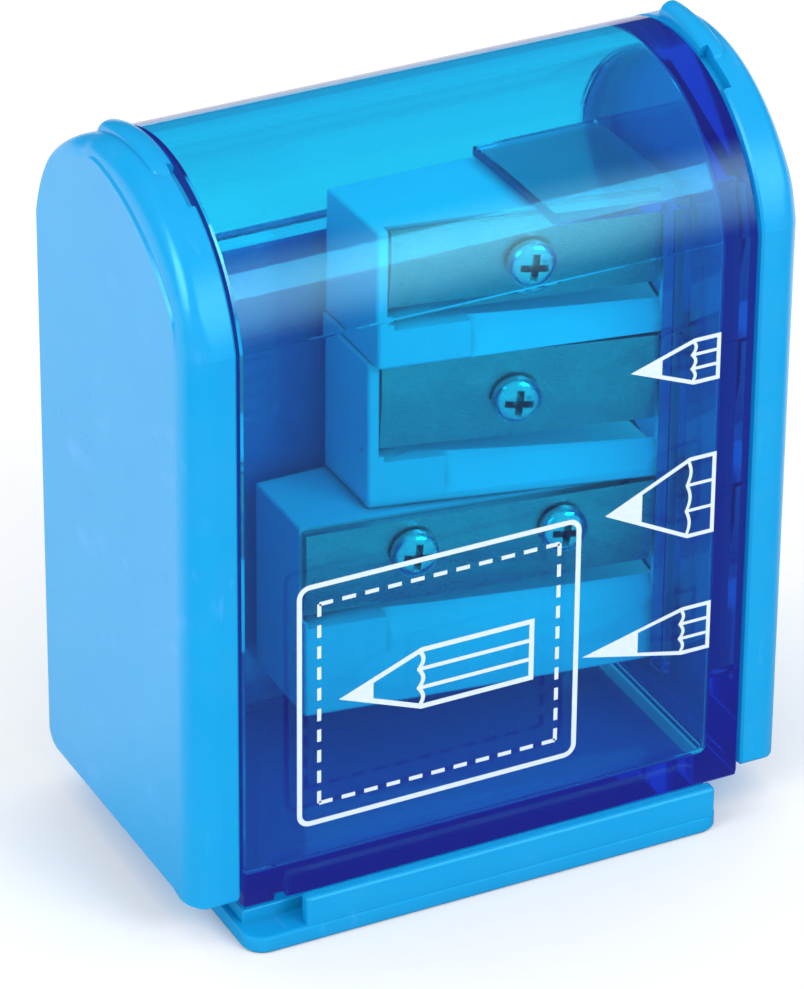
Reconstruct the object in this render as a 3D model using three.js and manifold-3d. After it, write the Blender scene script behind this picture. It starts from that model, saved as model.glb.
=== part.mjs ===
// A box pencil sharpener with three holes, in millimetres, +Z up.
// The origin is the middle of the box's footprint, on the surface it stands on.
// X runs along the box, from the plain end cap to the end cap with the pencil holes.
// Inside this file a depth is measured back from the front wall, and a height up from the
// underside of the clear hopper. toWorldY and toWorldZ turn them into model coordinates.

import * as THREE from 'three';
import { mergeVertices } from 'three/addons/utils/BufferGeometryUtils.js';
import Module from 'manifold-3d';

const wasm = await Module();
wasm.setup();

// Driving dimensions of the whole box
const HOPPER_LENGTH = 45;
const CAP_THICKNESS = 4;
const BOX_DEPTH = 28.4;
const CREASE_HEIGHT = 49.7;
const ARCH_RISE = 11.4;
const GAP = 0.3;

// Walls of the clear hopper
const FRONT_WALL = 2.1;
const FLOOR = 2;
const REAR_WALL = 1.6;
const END_WALL = 2.1;
const REAR_LEDGE_HEIGHT = 43.8;
const TONGUE_LENGTH = 11;
const TONGUE_THICKNESS = 1;
const TONGUE_FRONT = 8;
const TONGUE_REAR = 24;
const WINDOW_RIM = 2.1;
const WINDOW_RIM_PROUD = 0.8;
const DETENT_WIDTH = 1.2;
const DETENT_HEIGHT = 0.8;
const DETENT_FROM_END = 2.6;

// Frame: foot plate, rail lip and rear wall
const FOOT_DROP = 2.9;
const FOOT_PLATE = 1.5;
const FOOT_FRONT = -2.5;
const FOOT_LEFT = -22.8;
const FOOT_RIGHT = 19.5;
const FOOT_CORNER = 1.8;
const LIP_LEFT = -17.8;
const LIP_RIGHT = 18.9;
const LIP_FRONT = -2.3;
const LIP_BACK = -1.1;
const LIP_TOP = 1.1;
const FRAME_WALL = 1.6;

// End caps
const CAP_BOTTOM = 0.7;
const CAP_EDGE_ROUND = 2.2;
const CAP_CORNER = 2.5;
const CAP_EDGE_STEPS = 3;
const CAP_SKIN = 1.8;
const CAP_RIM = 2;
const POCKET_CORNER = 1;
const EAR_WIDTH = 1.9;
const LEFT_EAR = { proud: 0.5, start: 62, end: 107 };
const RIGHT_EAR = { proud: 1, start: 76, end: 108 };
const NOTCH_BACK = 0.7;
const NOTCH_DEPTH = 0.8;
const NOTCH_START = 103;
const NOTCH_END = 120;
const BOSS_WALL = 1.1;
const HOLE_CHAMFER = 0.6;

// Sharpener block
const BLOCK_FRONT = 11.2;
const BLOCK_BACK = 24.6;
const BLOCK_BOTTOM = 6.2;
const BLOCK_TOP = 48.3;
const NECK_START = 20;
const SEAT_DEPTH = 1;
const CHIP_DEPTH = 1.4;
const CHIP_RAMP = 4.2;

// Blades and screws
const BLADE_THICKNESS = 0.8;
const BLADE_BEVEL = 4.4;
const BLADE_INSET = 0.1;
const BLADE_HOLE_RADIUS = 1.15;
const SCREW_HEAD_RADIUS = 2;
const SCREW_HEAD_HEIGHT = 1.3;
const SCREW_SHANK_RADIUS = 0.85;
const SCREW_LENGTH = 4.5;
const SCREW_HOLE_RADIUS = 1.05;
const SCREW_SLOT_WIDTH = 0.5;
const SCREW_SLOT_LENGTH = 2.3;
const SCREW_SLOT_DEPTH = 0.7;
const SCREW_SLOT_TURN = 36;

// The dome of a screw's head, as [share of its radius, share of its height]
const SCREW_DOME = [[1, 0.4], [0.85, 0.75], [0.5, 0.95]];

// One station per pencil hole. height is that of the hole's axis and of the cutting edge,
// and tilt is half the angle of the pencil point that the station cuts.
const STANDARD_BOTTOM = 36.7;
const JUMBO_BOTTOM = 23.4;
const STATIONS = {
  standard: {
    height: 40.9,
    radius: 4.1,
    tilt: 10,
    left: -3.5,
    bottom: STANDARD_BOTTOM,
    top: BLOCK_TOP,
    bladeLeft: -2.2,
    chipLeft: 4,
    screws: [8.8],
    screwRise: 3.2,
  },
  jumbo: {
    height: 28.4,
    radius: 5.6,
    tilt: 13,
    left: -3.7,
    bottom: JUMBO_BOTTOM,
    top: STANDARD_BOTTOM,
    bladeLeft: -2.4,
    chipLeft: 2.5,
    screws: [8],
    screwRise: 3.9,
  },
  longPoint: {
    height: 15.3,
    radius: 4.1,
    tilt: 8,
    left: -9.9,
    bottom: BLOCK_BOTTOM,
    top: JUMBO_BOTTOM,
    bladeLeft: -9.6,
    chipLeft: -3,
    screws: [-0.9, 11.6],
    screwRise: 5,
  },
};

// Worked out from the driving dimensions
const HALF_DEPTH = BOX_DEPTH / 2;
const HALF_LENGTH = HOPPER_LENGTH / 2;
const ARCH_RADIUS = (HALF_DEPTH ** 2 + ARCH_RISE ** 2) / (2 * ARCH_RISE);
const ARCH_HEIGHT = CREASE_HEIGHT + ARCH_RISE - ARCH_RADIUS;
const FOOTPRINT_MIDDLE = (FOOT_FRONT + BOX_DEPTH) / 2;
const HOPPER_LEFT = -HALF_LENGTH + GAP;
const HOPPER_RIGHT = HALF_LENGTH - GAP;
const END_WALL_FACE = HOPPER_RIGHT - END_WALL;
const REAR_WALL_OUTSIDE = BOX_DEPTH - FRAME_WALL - GAP;
const REAR_WALL_INSIDE = REAR_WALL_OUTSIDE - REAR_WALL;
const CAP_FACE = HALF_LENGTH + CAP_THICKNESS;
const BLADE_RIGHT = NECK_START - GAP;
const PLATE_TOP = FOOT_PLATE - FOOT_DROP;
const FAR = 100;
const OVERLAP = 0.5;
const MERGE_DISTANCE = 1e-5;
const HOLE_SEGMENTS = 32;
const SCREW_SEGMENTS = 24;
const SCREW_HOLE_SEGMENTS = 16;
const ARC_SEGMENTS = 12;
const FOOT_SEGMENTS = 6;

const CAP_BLUE = 0x3fb2ee;
const CLEAR_BLUE = 0x1470c8;
const BLOCK_BLUE = 0x35a8e6;
const BLADE_STEEL = 0xb9bec4;
const SCREW_STEEL = 0xd4d7da;

const RIGHTWARDS = new THREE.Vector3(1, 0, 0);
const BACKWARDS = new THREE.Vector3(0, 1, 0);
const UP = new THREE.Vector3(0, 0, 1);

const radians = (degrees) => THREE.MathUtils.degToRad(degrees);

const toWorldY = (depth) => depth - FOOTPRINT_MIDDLE;

const toWorldZ = (height) => height + FOOT_DROP;

// Closed solids and booleans

function solid(geometry) {
  const bare = geometry.clone();
  bare.deleteAttribute('normal');
  bare.deleteAttribute('uv');
  const merged = mergeVertices(bare, MERGE_DISTANCE);
  const vertProperties = new Float32Array(merged.attributes.position.array);
  const triVerts = new Uint32Array(merged.index.array);
  return new wasm.Manifold(new wasm.Mesh({ numProp: 3, vertProperties, triVerts }));
}

function geometryOf(body) {
  const { vertProperties, triVerts } = body.getMesh();
  const geometry = new THREE.BufferGeometry();
  geometry.setAttribute('position', new THREE.BufferAttribute(vertProperties, 3));
  geometry.setIndex(new THREE.BufferAttribute(triVerts, 1));
  return geometry;
}

function block(x, depth, height) {
  const size = [x[1] - x[0], depth[1] - depth[0], height[1] - height[0]];
  const geometry = new THREE.BoxGeometry(...size);
  geometry.translate((x[0] + x[1]) / 2, (depth[0] + depth[1]) / 2, (height[0] + height[1]) / 2);
  return solid(geometry);
}

// Extrudes an outline drawn in depth and height along X
function alongX(shape, left, right, options = {}) {
  const settings = { depth: right - left, bevelEnabled: false, curveSegments: ARC_SEGMENTS, ...options };
  const geometry = new THREE.ExtrudeGeometry(shape, settings);
  geometry.applyMatrix4(new THREE.Matrix4().makeBasis(BACKWARDS, UP, RIGHTWARDS));
  geometry.translate(left, 0, 0);
  return solid(geometry);
}

// Extrudes an outline drawn in X and depth upwards
function upwards(points, bottom, top) {
  const shape = new THREE.Shape(points.map(([x, depth]) => new THREE.Vector2(x, depth)));
  const geometry = new THREE.ExtrudeGeometry(shape, { depth: top - bottom, bevelEnabled: false });
  geometry.translate(0, 0, bottom);
  return solid(geometry);
}

// A solid turned about X from a profile of [x, radius] points
function turnedAboutX(profile, depth, height, segments = HOLE_SEGMENTS) {
  const points = profile.map(([x, radius]) => new THREE.Vector2(radius, x));
  const geometry = new THREE.LatheGeometry(points, segments);
  geometry.rotateZ(-Math.PI / 2);
  geometry.translate(0, depth, height);
  return solid(geometry);
}

// Outlines in depth and height

// Angle from the rear horizontal at which the arch meets the flat front and rear faces
function creaseAngle(inset) {
  return Math.acos((HALF_DEPTH - inset) / (ARCH_RADIUS - inset));
}

function addArch(shape, inset) {
  const start = creaseAngle(inset);
  shape.absarc(HALF_DEPTH, ARCH_HEIGHT, ARCH_RADIUS - inset, start, Math.PI - start, false);
}

function capOutline(inset, bottom, corner) {
  const front = inset;
  const rear = BOX_DEPTH - inset;
  const shape = new THREE.Shape();
  shape.moveTo(front + corner, bottom);
  shape.lineTo(rear - corner, bottom);
  shape.absarc(rear - corner, bottom + corner, corner, -Math.PI / 2, 0, false);
  addArch(shape, inset);
  shape.lineTo(front, bottom + corner);
  shape.absarc(front + corner, bottom + corner, corner, Math.PI, Math.PI * 1.5, false);
  return shape;
}

function hopperOutside() {
  const shape = new THREE.Shape();
  shape.moveTo(0, 0);
  shape.lineTo(REAR_WALL_OUTSIDE, 0);
  shape.lineTo(REAR_WALL_OUTSIDE, REAR_LEDGE_HEIGHT);
  shape.lineTo(BOX_DEPTH, REAR_LEDGE_HEIGHT);
  addArch(shape, 0);
  shape.closePath();
  return shape;
}

function hopperInside() {
  const ledgeTop = REAR_LEDGE_HEIGHT + REAR_WALL;
  const shape = new THREE.Shape();
  shape.moveTo(FRONT_WALL, FLOOR);
  shape.lineTo(REAR_WALL_INSIDE, FLOOR);
  shape.lineTo(REAR_WALL_INSIDE, ledgeTop);
  shape.lineTo(BOX_DEPTH - FRONT_WALL, ledgeTop);
  addArch(shape, FRONT_WALL);
  shape.closePath();
  return shape;
}

function ringOutline(inner, outer, start, end) {
  const shape = new THREE.Shape();
  shape.absarc(HALF_DEPTH, ARCH_HEIGHT, outer, radians(start), radians(end), false);
  shape.absarc(HALF_DEPTH, ARCH_HEIGHT, inner, radians(end), radians(start), true);
  shape.closePath();
  return shape;
}

// Stations of the sharpener block

function frontDepth(station, x) {
  return BLOCK_FRONT + (NECK_START - Math.min(x, NECK_START)) * Math.tan(radians(station.tilt));
}

function boreDepth(station) {
  return BLOCK_FRONT + SEAT_DEPTH + station.radius;
}

// Moves a shape drawn at the front face (x along it, -Y out of it, z from the cutting edge) into place
function ontoStation(geometry, station, x, depthIntoBlock, rise) {
  const turn = radians(station.tilt);
  geometry.rotateZ(-turn);
  const depth = frontDepth(station, x) + depthIntoBlock / Math.cos(turn);
  geometry.translate(x, depth, station.height + rise);
  return geometry;
}

function bore(station, outerEnd) {
  const tip = NECK_START - station.radius / Math.tan(radians(station.tilt));
  const profile = [[tip, 0], [NECK_START, station.radius], [outerEnd, station.radius], [outerEnd, 0]];
  return turnedAboutX(profile, boreDepth(station), station.height);
}

function tier(station) {
  const points = [
    [station.left, frontDepth(station, station.left)],
    [NECK_START, BLOCK_FRONT],
    [HOPPER_RIGHT, BLOCK_FRONT],
    [HOPPER_RIGHT, BLOCK_BACK],
    [station.left, BLOCK_BACK],
  ];
  return upwards(points, station.bottom, station.top);
}

// The shallow seat that the blade lies in, from its cutting edge to the top of the station
function bladeSeat(station) {
  const left = station.bladeLeft - GAP;
  const points = [
    [left, 0],
    [NECK_START, 0],
    [NECK_START, BLOCK_FRONT + SEAT_DEPTH],
    [left, frontDepth(station, left) + SEAT_DEPTH],
  ];
  return upwards(points, station.height - GAP, station.top);
}

// The opening under the cutting edge where shavings leave, ending in a ramp
function chipOpening(station) {
  const top = station.height;
  const left = station.chipLeft;
  const shape = new THREE.Shape();
  shape.moveTo(-FAR, top - CHIP_RAMP);
  shape.lineTo(BLOCK_FRONT, top - CHIP_RAMP);
  shape.lineTo(BLOCK_FRONT + CHIP_DEPTH, top - CHIP_RAMP / 2);
  shape.lineTo(BLOCK_FRONT + CHIP_DEPTH, top);
  shape.lineTo(-FAR, top);
  shape.closePath();
  const geometry = new THREE.ExtrudeGeometry(shape, { depth: NECK_START - left, bevelEnabled: false });
  const leaning = new THREE.Vector3(1, -Math.tan(radians(station.tilt)), 0);
  geometry.applyMatrix4(new THREE.Matrix4().makeBasis(BACKWARDS, UP, leaning));
  geometry.translate(left, frontDepth(station, left) - BLOCK_FRONT, 0);
  return solid(geometry);
}

// A cylinder square to the station's front face
function normalCylinder(station, x, radius, length, rise) {
  const geometry = new THREE.CylinderGeometry(radius, radius, length, SCREW_HOLE_SEGMENTS);
  return solid(ontoStation(geometry, station, x, 0, rise));
}

// Pieces

function makeBlock() {
  const stations = Object.values(STATIONS);
  let body = stations.map(tier).reduce((all, next) => all.add(next));
  for (const station of stations) {
    body = body.subtract(bore(station, HALF_LENGTH));
    body = body.subtract(bladeSeat(station));
    body = body.subtract(chipOpening(station));
    for (const x of station.screws) {
      const hole = normalCylinder(station, x, SCREW_HOLE_RADIUS, 2 * SCREW_LENGTH, station.screwRise);
      body = body.subtract(hole);
    }
  }
  return body;
}

function makeBlade(station) {
  const length = (BLADE_RIGHT - station.bladeLeft) / Math.cos(radians(station.tilt));
  const bladeHeight = station.top - station.height - GAP;
  const profile = new THREE.Shape();
  profile.moveTo(0, 0);
  profile.lineTo(0, bladeHeight);
  profile.lineTo(-BLADE_THICKNESS, bladeHeight);
  profile.lineTo(-BLADE_THICKNESS, BLADE_BEVEL);
  profile.closePath();
  const geometry = new THREE.ExtrudeGeometry(profile, { depth: length, bevelEnabled: false });
  geometry.applyMatrix4(new THREE.Matrix4().makeBasis(BACKWARDS, UP, RIGHTWARDS));
  let body = solid(ontoStation(geometry, station, station.bladeLeft, SEAT_DEPTH - BLADE_INSET, 0));
  for (const x of station.screws) {
    const hole = normalCylinder(station, x, BLADE_HOLE_RADIUS, 2 * SCREW_LENGTH, station.screwRise);
    body = body.subtract(hole);
  }
  return body;
}

function makeScrew(station, x) {
  const dome = SCREW_DOME.map(([wide, high]) => [wide * SCREW_HEAD_RADIUS, high * SCREW_HEAD_HEIGHT]);
  const profile = [
    [0, -SCREW_LENGTH],
    [SCREW_SHANK_RADIUS, -SCREW_LENGTH],
    [SCREW_SHANK_RADIUS, 0],
    [SCREW_HEAD_RADIUS, 0],
    ...dome,
    [0, SCREW_HEAD_HEIGHT],
  ];
  const points = profile.map(([radius, along]) => new THREE.Vector2(radius, along));
  let body = solid(new THREE.LatheGeometry(points, SCREW_SEGMENTS));
  for (const turn of [SCREW_SLOT_TURN, SCREW_SLOT_TURN + 90]) {
    const bar = new THREE.BoxGeometry(SCREW_SLOT_LENGTH, 2 * SCREW_SLOT_DEPTH, SCREW_SLOT_WIDTH);
    bar.rotateY(radians(turn));
    bar.translate(0, SCREW_HEAD_HEIGHT, 0);
    body = body.subtract(solid(bar));
  }
  const geometry = geometryOf(body);
  geometry.rotateX(Math.PI);
  return solid(ontoStation(geometry, station, x, -BLADE_INSET, station.screwRise));
}

function makeHopper() {
  const shell = alongX(hopperOutside(), HOPPER_LEFT, HOPPER_RIGHT);
  const inside = alongX(hopperInside(), HOPPER_LEFT - OVERLAP, END_WALL_FACE);
  const windowFront = BLOCK_FRONT - GAP;
  const windowBottom = BLOCK_BOTTOM - GAP;
  const windowTop = BLOCK_TOP + GAP;
  const windowCut = block([0, FAR], [windowFront, REAR_WALL_INSIDE], [windowBottom, windowTop]);
  const rimX = [END_WALL_FACE - WINDOW_RIM_PROUD, END_WALL_FACE + WINDOW_RIM_PROUD];
  const rim = block(rimX, [windowFront - WINDOW_RIM, windowFront], [windowBottom, windowTop]);
  const detentLeft = HOPPER_LEFT + DETENT_FROM_END;
  const detentX = [detentLeft, detentLeft + DETENT_WIDTH];
  const detent = block(detentX, [-OVERLAP, FRONT_WALL], [-OVERLAP, DETENT_HEIGHT]);
  return shell.subtract(inside).subtract(windowCut).add(rim).add(makeTongue(windowTop)).subtract(detent);
}

// The shelf over the block, whose front edge runs parallel to the standard blade
function makeTongue(bottom) {
  const left = END_WALL_FACE - TONGUE_LENGTH;
  const slant = TONGUE_LENGTH * Math.tan(radians(STATIONS.standard.tilt));
  const right = END_WALL_FACE + WINDOW_RIM_PROUD;
  const points = [
    [left, TONGUE_FRONT + slant],
    [right, TONGUE_FRONT],
    [right, TONGUE_REAR],
    [left, TONGUE_REAR],
  ];
  return upwards(points, bottom, bottom + TONGUE_THICKNESS);
}

function makeFrame() {
  const cornerDepth = FOOT_FRONT + FOOT_CORNER;
  const shape = new THREE.Shape();
  shape.moveTo(FOOT_LEFT + FOOT_CORNER, FOOT_FRONT);
  shape.lineTo(FOOT_RIGHT - FOOT_CORNER, FOOT_FRONT);
  shape.absarc(FOOT_RIGHT - FOOT_CORNER, cornerDepth, FOOT_CORNER, -Math.PI / 2, 0, false);
  shape.lineTo(FOOT_RIGHT, BOX_DEPTH);
  shape.lineTo(FOOT_LEFT, BOX_DEPTH);
  shape.absarc(FOOT_LEFT + FOOT_CORNER, cornerDepth, FOOT_CORNER, Math.PI, Math.PI * 1.5, false);
  const settings = { depth: FOOT_PLATE, bevelEnabled: false, curveSegments: FOOT_SEGMENTS };
  const geometry = new THREE.ExtrudeGeometry(shape, settings);
  geometry.translate(0, 0, -FOOT_DROP);
  const plate = solid(geometry);
  const low = PLATE_TOP - OVERLAP;
  const pad = block([HOPPER_LEFT, FOOT_RIGHT], [GAP, BOX_DEPTH], [low, -GAP]);
  const lip = block([LIP_LEFT, LIP_RIGHT], [LIP_FRONT, LIP_BACK], [low, LIP_TOP]);
  const wallDepth = [BOX_DEPTH - FRAME_WALL, BOX_DEPTH];
  const wall = block([HOPPER_LEFT, FOOT_RIGHT], wallDepth, [low, REAR_LEDGE_HEIGHT - GAP]);
  return plate.add(pad).add(lip).add(wall);
}

// The X range between two distances from the middle, on the left (-1) or the right (1)
function sideRange(side, near, far) {
  return side < 0 ? [-far, -near] : [near, far];
}

function makeCap(side) {
  const bevel = {
    bevelEnabled: true,
    bevelThickness: CAP_EDGE_ROUND,
    bevelSize: CAP_EDGE_ROUND,
    bevelOffset: -CAP_EDGE_ROUND,
    bevelSegments: CAP_EDGE_STEPS,
  };
  const flatPart = sideRange(side, 0, CAP_FACE - CAP_EDGE_ROUND);
  const rounded = alongX(capOutline(0, CAP_BOTTOM, CAP_CORNER), ...flatPart, bevel);
  const keep = block(sideRange(side, HALF_LENGTH, FAR), [-FAR, FAR], [-FAR, FAR]);
  const pocketShape = capOutline(CAP_RIM, CAP_BOTTOM + CAP_RIM, POCKET_CORNER);
  const pocket = alongX(pocketShape, ...sideRange(side, HALF_LENGTH - OVERLAP, CAP_FACE - CAP_SKIN));
  const { proud, start, end } = side < 0 ? LEFT_EAR : RIGHT_EAR;
  const earTop = ARCH_RADIUS + proud;
  const earShape = ringOutline(ARCH_RADIUS - CAP_SKIN, earTop, start, end);
  const ear = alongX(earShape, ...sideRange(side, HALF_LENGTH, HALF_LENGTH + EAR_WIDTH));
  const notchShape = ringOutline(ARCH_RADIUS - NOTCH_DEPTH, earTop + OVERLAP, NOTCH_START, NOTCH_END);
  const notch = alongX(notchShape, ...sideRange(side, HALF_LENGTH - OVERLAP, HALF_LENGTH + NOTCH_BACK));
  return rounded.intersect(keep).subtract(pocket).add(ear).subtract(notch);
}

function makeHoleCap() {
  let body = makeCap(1);
  for (const station of Object.values(STATIONS)) {
    const radius = station.radius + BOSS_WALL;
    const start = HALF_LENGTH;
    const end = CAP_FACE - CAP_SKIN + OVERLAP;
    const boss = [[start, 0], [start, radius], [end, radius], [end, 0]];
    body = body.add(turnedAboutX(boss, boreDepth(station), station.height));
  }
  for (const station of Object.values(STATIONS)) {
    const radius = station.radius;
    const flare = radius + HOLE_CHAMFER;
    const hole = [
      [0, 0],
      [0, radius],
      [CAP_FACE - HOLE_CHAMFER, radius],
      [CAP_FACE, flare],
      [CAP_FACE + OVERLAP, flare],
      [CAP_FACE + OVERLAP, 0],
    ];
    body = body.subtract(turnedAboutX(hole, boreDepth(station), station.height));
  }
  return body;
}

// Scene graph

function named(name, body, color, look) {
  const geometry = geometryOf(body);
  const material = new THREE.MeshStandardMaterial({ color, ...look });
  const mesh = new THREE.Mesh(geometry, material);
  mesh.name = name;
  return mesh;
}

const plastic = { roughness: 0.45, metalness: 0 };
const clear = { roughness: 0.08, metalness: 0, transparent: true, opacity: 0.4 };
const steel = { roughness: 0.3, metalness: 1 };

const sharpener = new THREE.Group();
sharpener.position.set(0, toWorldY(0), toWorldZ(0));

sharpener.add(named('base_frame', makeFrame(), CAP_BLUE, plastic));
sharpener.add(named('left_cap', makeCap(-1), CAP_BLUE, plastic));
sharpener.add(named('right_cap', makeHoleCap(), CAP_BLUE, plastic));
sharpener.add(named('clear_hopper', makeHopper(), CLEAR_BLUE, clear));
sharpener.add(named('sharpener_block', makeBlock(), BLOCK_BLUE, plastic));
sharpener.add(named('blade_standard', makeBlade(STATIONS.standard), BLADE_STEEL, steel));
sharpener.add(named('blade_jumbo', makeBlade(STATIONS.jumbo), BLADE_STEEL, steel));
sharpener.add(named('blade_long_point', makeBlade(STATIONS.longPoint), BLADE_STEEL, steel));

const screws = [
  ['screw_standard', STATIONS.standard, 0],
  ['screw_jumbo', STATIONS.jumbo, 0],
  ['screw_long_point_left', STATIONS.longPoint, 0],
  ['screw_long_point_right', STATIONS.longPoint, 1],
];
for (const [name, station, index] of screws) {
  sharpener.add(named(name, makeScrew(station, station.screws[index]), SCREW_STEEL, steel));
}

export default sharpener;
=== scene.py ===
import math
from collections import namedtuple

import bmesh
import bpy
from mathutils import Matrix, Vector


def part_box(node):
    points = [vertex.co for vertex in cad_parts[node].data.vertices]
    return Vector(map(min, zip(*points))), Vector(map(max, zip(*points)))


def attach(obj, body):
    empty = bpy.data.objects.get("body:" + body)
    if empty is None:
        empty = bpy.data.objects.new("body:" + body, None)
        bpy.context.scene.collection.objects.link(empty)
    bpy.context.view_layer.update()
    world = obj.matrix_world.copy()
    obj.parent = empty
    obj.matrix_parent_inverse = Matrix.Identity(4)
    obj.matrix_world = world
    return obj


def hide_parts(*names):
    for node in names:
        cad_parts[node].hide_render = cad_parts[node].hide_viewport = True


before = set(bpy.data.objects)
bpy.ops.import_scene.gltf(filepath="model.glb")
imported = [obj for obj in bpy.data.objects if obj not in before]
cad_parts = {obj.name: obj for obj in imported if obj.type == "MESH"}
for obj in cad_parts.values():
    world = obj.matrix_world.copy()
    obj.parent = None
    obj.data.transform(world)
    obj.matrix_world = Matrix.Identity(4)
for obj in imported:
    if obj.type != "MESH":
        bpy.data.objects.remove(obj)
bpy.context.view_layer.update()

# The looks of a three-hole box pencil sharpener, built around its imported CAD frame.
# Lengths below are in millimetres unless a name says otherwise. Shapes are drawn in box
# coordinates: x to the right, depth back from the front wall, height up from the hopper's
# underside. TO_FRAME turns them into frame metres.

MM = 0.001


# ---- sizes read from the frame

def box_mm(node):
    low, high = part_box(node)
    return low / MM, high / MM


HOPPER_LOW, HOPPER_HIGH = box_mm("clear_hopper")
CAP_LOW, CAP_HIGH = box_mm("right_cap")
FRONT_Y = HOPPER_LOW.y
BASE_Z = HOPPER_LOW.z
HOPPER_LEFT = HOPPER_LOW.x
HOPPER_RIGHT = HOPPER_HIGH.x
BOX_DEPTH = HOPPER_HIGH.y - HOPPER_LOW.y
ARCH_TOP = HOPPER_HIGH.z - HOPPER_LOW.z
CAP_NEAR = CAP_LOW.x
CAP_FAR = CAP_HIGH.x
CAP_BOTTOM = CAP_LOW.z - BASE_Z

CREASE_HEIGHT = 49.7
CORNER_ANGLE = 35
CREASE_LOW = 10.5
CREASE_HIGH = 20
WELD = 1e-4
FLAT_ANGLE = 0.3
HALF_DEPTH = BOX_DEPTH / 2
ARCH_RISE = ARCH_TOP - CREASE_HEIGHT
ARCH_RADIUS = (HALF_DEPTH ** 2 + ARCH_RISE ** 2) / (2 * ARCH_RISE)
ARCH_HEIGHT = ARCH_TOP - ARCH_RADIUS
TO_FRAME = Matrix.Scale(MM, 4) @ Matrix.Translation((0, FRONT_Y, BASE_Z))


# ---- mesh helpers

def shade(mesh):
    """Smooth shading, broken at real corners and at the shallow creases where an arch meets a flat."""
    bm = bmesh.new()
    bm.from_mesh(mesh)
    for face in bm.faces:
        face.smooth = True
    for edge in bm.edges:
        angle = math.degrees(edge.calc_face_angle(math.pi))
        edge.smooth = not (angle > CORNER_ANGLE or CREASE_LOW < angle < CREASE_HIGH)
    bm.to_mesh(mesh)
    bm.free()


def finish_mesh(name, bm):
    bmesh.ops.recalc_face_normals(bm, faces=bm.faces)
    mesh = bpy.data.meshes.new(name)
    bm.to_mesh(mesh)
    bm.free()
    made = bpy.data.objects.new(name, mesh)
    bpy.context.scene.collection.objects.link(made)
    return made


def loft(bm, loops):
    """Joins closed loops of points, each with the same count, and caps the first and last."""
    rings = [[bm.verts.new(point) for point in loop] for loop in loops]
    for first, second in zip(rings, rings[1:]):
        count = len(first)
        for i in range(count):
            j = (i + 1) % count
            bm.faces.new((first[i], first[j], second[j], second[i]))
    bm.faces.new(list(reversed(rings[0])))
    bm.faces.new(rings[-1])


def prism(bm, outline, x0, x1):
    """An outline of (depth, height) points pushed along x."""
    loft(bm, [[(x, d, h) for d, h in outline] for x in (x0, x1)])


def new_piece(build, *sizes):
    bm = bmesh.new()
    build(bm, *sizes)
    return finish_mesh("tool", bm)


def moved(matrix, build, *sizes):
    """A new piece, drawn in local axes and put in its place."""
    bm = bmesh.new()
    build(bm, *sizes)
    bmesh.ops.transform(bm, matrix=matrix, verts=bm.verts)
    return finish_mesh("tool", bm)


def circle(radius, steps):
    turns = [2 * math.pi * i / steps for i in range(steps)]
    return [(radius * math.cos(a), radius * math.sin(a)) for a in turns]


def combine(target, tool, operation):
    """Boolean of two objects. The tool is used up."""
    modifier = target.modifiers.new("join", "BOOLEAN")
    modifier.operation = operation
    modifier.solver = "EXACT"
    modifier.object = tool
    bpy.context.view_layer.update()
    graph = bpy.context.evaluated_depsgraph_get()
    mesh = bpy.data.meshes.new_from_object(target.evaluated_get(graph))
    target.modifiers.clear()
    old = target.data
    target.data = mesh
    bpy.data.meshes.remove(old)
    spent = tool.data
    bpy.data.objects.remove(tool)
    bpy.data.meshes.remove(spent)
    return target


def soften(target, width, segments=3, angle=30):
    """Merges flat facets left by booleans and rounds every edge sharper than the angle."""
    bm = bmesh.new()
    bm.from_mesh(target.data)
    bmesh.ops.remove_doubles(bm, verts=bm.verts, dist=WELD)
    bmesh.ops.dissolve_limit(bm, angle_limit=math.radians(FLAT_ANGLE), verts=bm.verts, edges=bm.edges)
    limit = math.radians(angle)
    edges = [e for e in bm.edges if e.is_manifold and e.calc_face_angle(0) > limit]
    bmesh.ops.bevel(
        bm, geom=edges, offset=width, segments=segments, profile=0.5, affect="EDGES", clamp_overlap=True
    )
    bmesh.ops.recalc_face_normals(bm, faces=bm.faces)
    bm.to_mesh(target.data)
    bm.free()
    return target


def settle(target, name, body, slot, material, *nodes):
    """Gives a finished piece its place, shading, material, body and the nodes it stands for. Its slot is not
    used.
    """
    target.data.transform(TO_FRAME)
    shade(target.data)
    weighted = target.modifiers.new("even_normals", "WEIGHTED_NORMAL")
    weighted.keep_sharp = True
    weighted.weight = 90
    target.name = name
    target.data.name = name
    target.data.materials.clear()
    target.data.materials.append(material)
    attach(target, body)
    if nodes:
        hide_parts(*nodes)
    return target


def arc(centre, radius, start, end, steps):
    """Points on an arc, angles in degrees, both ends included."""
    points = []
    for i in range(steps + 1):
        a = math.radians(start + (end - start) * i / steps)
        points.append((centre[0] + radius * math.cos(a), centre[1] + radius * math.sin(a)))
    return points


def crease_angle(inset):
    return math.degrees(math.acos((HALF_DEPTH - inset) / (ARCH_RADIUS - inset)))


def arch(inset, steps=96):
    start = crease_angle(inset)
    return arc((HALF_DEPTH, ARCH_HEIGHT), ARCH_RADIUS - inset, start, 180 - start, steps)


# ---- node helpers

def material_with(name):
    made = bpy.data.materials.new(name)
    made.use_nodes = True
    tree = made.node_tree
    tree.nodes.clear()
    output = tree.nodes.new("ShaderNodeOutputMaterial")
    return made, tree, output


def node(tree, kind, **values):
    """Adds a node, setting inputs by name and attributes by name."""
    made = tree.nodes.new(kind)
    for key, value in values.items():
        if key in made.inputs:
            made.inputs[key].default_value = value
        else:
            setattr(made, key, value)
    return made


def link(tree, source, socket, target, name):
    tree.links.new(source.outputs[socket], target.inputs[name])


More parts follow.
